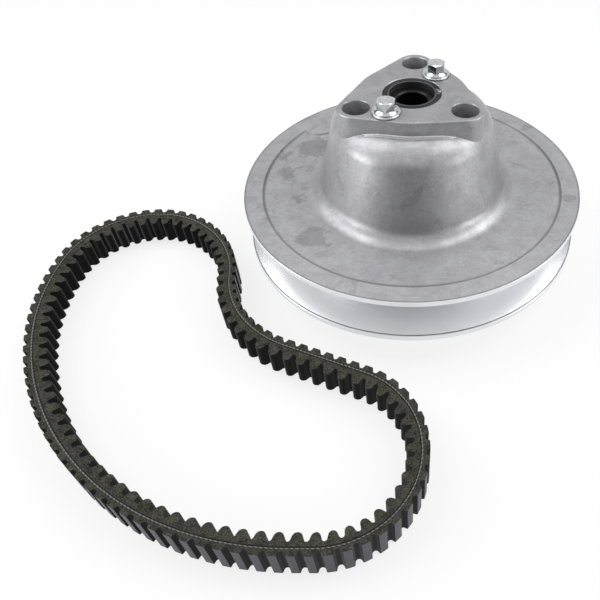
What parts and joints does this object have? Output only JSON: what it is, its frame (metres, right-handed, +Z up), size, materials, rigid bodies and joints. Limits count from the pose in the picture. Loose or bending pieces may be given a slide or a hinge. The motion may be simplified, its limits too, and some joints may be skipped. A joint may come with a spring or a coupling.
{
  "type": "cvt driven pulley with belt",
  "caption": "Driven pulley of a variable belt drive: conical sheaves, a bell-shaped cam tower with a bolted top, a sprung sliding half and a loose cogged belt.",
  "frame": {"origin": "centre of the shaft bore at the face of the post's foot, on which the pulley stands", "axes": "+Z up along the shaft bore towards the tower's top, -Y towards the viewer, +X to the right"},
  "size_m": [0.4073, 0.4082, 0.1459],
  "materials": {
    "cast_aluminium": "as cast, grey and blotchy, with a machined ring and rim",
    "polished_aluminium": "turned and polished groove face",
    "black_steel": "black oxide over turned steel, satin",
    "bright_steel": "ground or bright-drawn steel",
    "zinc_plated_steel": "bright zinc plating",
    "liner_polymer": "filled bearing polymer, matt",
    "roller_polymer": "cast nylon, satin",
    "belt_rubber": "moulded rubber, satin on the cogs",
    "belt_flank_rubber": "cut rubber with short fibres, matt",
    "tension_cord": "twisted polyester tension cord"
  },
  "bodies": {
    "fixed_half": {"fixed_sheave": "polished_aluminium", "shaft_post": "black_steel", "post_screws": "bright_steel", "roller_spider": "bright_steel", "spider_key": "bright_steel", "spider_ring": "bright_steel", "roller_pins": "bright_steel", "pin_clips": "bright_steel", "spring_cup": "bright_steel", "torque_spring": "bright_steel"},
    "spring_washer": {"thrust_washer": "bright_steel"},
    "movable_half": {"movable_sheave": "cast_aluminium", "torque_cam": "black_steel", "neck_bush": "liner_polymer", "cam_bolts": "zinc_plated_steel", "bolt_washers": "zinc_plated_steel", "cam_dowels": "bright_steel", "spring_seat": "bright_steel", "seat_bush": "liner_polymer", "seat_ring": "bright_steel"},
    "roller_1": {"roller_1": "roller_polymer"},
    "roller_2": {"roller_2": "roller_polymer"},
    "roller_3": {"roller_3": "roller_polymer"},
    "belt": {"belt_overcord": "belt_rubber", "belt_cord": "tension_cord", "belt_undercord": "belt_flank_rubber"}
  },
  "joints": [
    {"name": "sheave_slide", "type": "slide", "parent": "fixed_half", "child": "spring_washer", "axis": [0, 0, 1], "range_m": [0, 0.022], "stiffness_N_per_m": 3000, "springref_m": -0.02, "deforming": ["torque_spring"]},
    {"name": "sheave_twist", "type": "hinge", "parent": "spring_washer", "child": "movable_half", "pos_m": [0, 0, 0], "axis": [0, 0, 1], "range_deg": [0, 42.1]},
    {"name": "roller_1_spin", "type": "hinge", "parent": "fixed_half", "child": "roller_1", "pos_m": [0, 0, 0.092], "axis": [0.8886, 0.4587, 0], "range_deg": [0, 223.5]},
    {"name": "roller_2_spin", "type": "hinge", "parent": "fixed_half", "child": "roller_2", "pos_m": [0, 0, 0.092], "axis": [-0.8415, 0.5402, 0], "range_deg": [0, 223.5]},
    {"name": "roller_3_spin", "type": "hinge", "parent": "fixed_half", "child": "roller_3", "pos_m": [0, 0, 0.092], "axis": [-0.0471, -0.9989, 0], "range_deg": [0, 223.5]},
    {"name": "belt_lift", "type": "slide", "parent": "fixed_half", "child": "belt", "axis": [0, 0, 1], "range_m": [0, 0.15]}
  ],
  "couplings": [
    {"joint": "sheave_twist", "follows": "sheave_slide", "rad_per_m": 33.333},
    {"joint": "roller_1_spin", "follows": "sheave_slide", "rad_per_m": 176.78},
    {"joint": "roller_2_spin", "follows": "sheave_slide", "rad_per_m": 176.78},
    {"joint": "roller_3_spin", "follows": "sheave_slide", "rad_per_m": 176.78}
  ]
}
